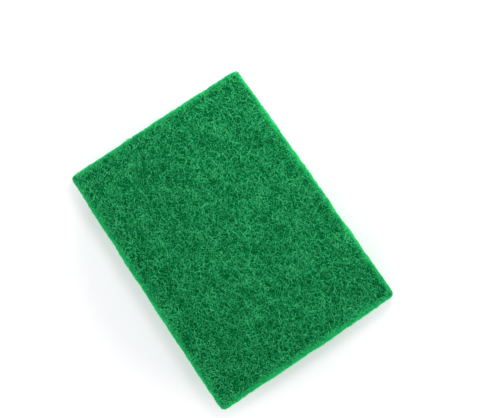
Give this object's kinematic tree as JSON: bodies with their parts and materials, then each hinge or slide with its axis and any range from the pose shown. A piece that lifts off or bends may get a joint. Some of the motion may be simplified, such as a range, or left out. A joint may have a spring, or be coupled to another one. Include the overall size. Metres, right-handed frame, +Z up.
{
  "type": "nylon scouring pad",
  "caption": "Flat rectangular scouring pad of lofty green nonwoven nylon web, die cut with small rounded corners and softly pinched cut edges.",
  "frame": {"origin": "middle of the underside, on the plane that the pad rests on", "axes": "+X along the long side, +Y along the short side, +Z up through the thickness"},
  "size_m": [0.1498, 0.1078, 0.008],
  "materials": {
    "nylon_web": "matte resin-bonded nylon fibres"
  },
  "bodies": {
    "root": {"scouring_pad": "nylon_web"}
  },
  "joints": []
}
